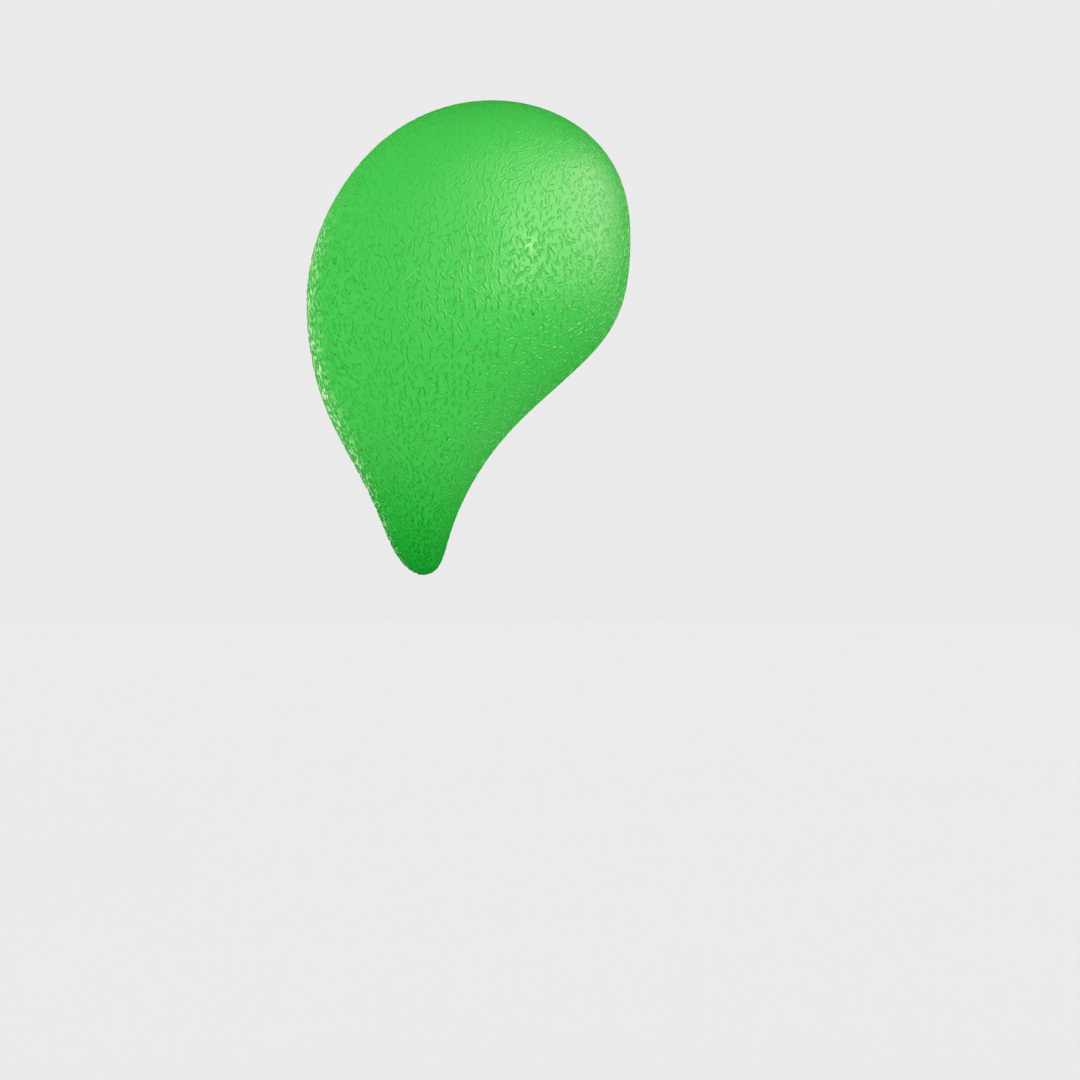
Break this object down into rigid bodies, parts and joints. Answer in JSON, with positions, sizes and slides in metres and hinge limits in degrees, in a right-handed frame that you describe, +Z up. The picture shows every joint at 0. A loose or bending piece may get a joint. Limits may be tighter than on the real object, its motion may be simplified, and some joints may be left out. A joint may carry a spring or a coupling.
{
  "type": "stress ball",
  "caption": "Grained green rubber stress ball with a soft filling and a glued fill plug, held at its waist so that its free end bulges; the bulge slides in and out as the ball is squeezed.",
  "frame": {"origin": "on the centre line in the middle of the gripped waist, where a hand holds the ball", "axes": "+Z up, from the gripped end to the top of the bulge; +X towards the holding hand's thumb; +Y towards its fingers"},
  "size_m": [0.0786, 0.0837, 0.115],
  "materials": {
    "green_rubber_skin": "satin",
    "pale_green_plug_rubber": "satin",
    "soft_filling": "matte",
    "clear_cement": "gloss"
  },
  "bodies": {
    "gripped_part": {"skin_grip_end": "green_rubber_skin", "filling_grip_end": "soft_filling", "skin_waist": "green_rubber_skin", "filling_waist": "soft_filling"},
    "bulging_part": {"skin_bulge": "green_rubber_skin", "filling_bulge": "soft_filling", "fill_plug": "pale_green_plug_rubber", "plug_cement_ring": "clear_cement"}
  },
  "joints": [
    {"name": "squeeze", "type": "slide", "parent": "gripped_part", "child": "bulging_part", "axis": [0.143, 0, 0.9897], "range_m": [-0.028, 0.006], "stiffness_N_per_m": 1500, "springref_m": 0.0015, "deforming": ["skin_waist", "filling_waist"]}
  ]
}
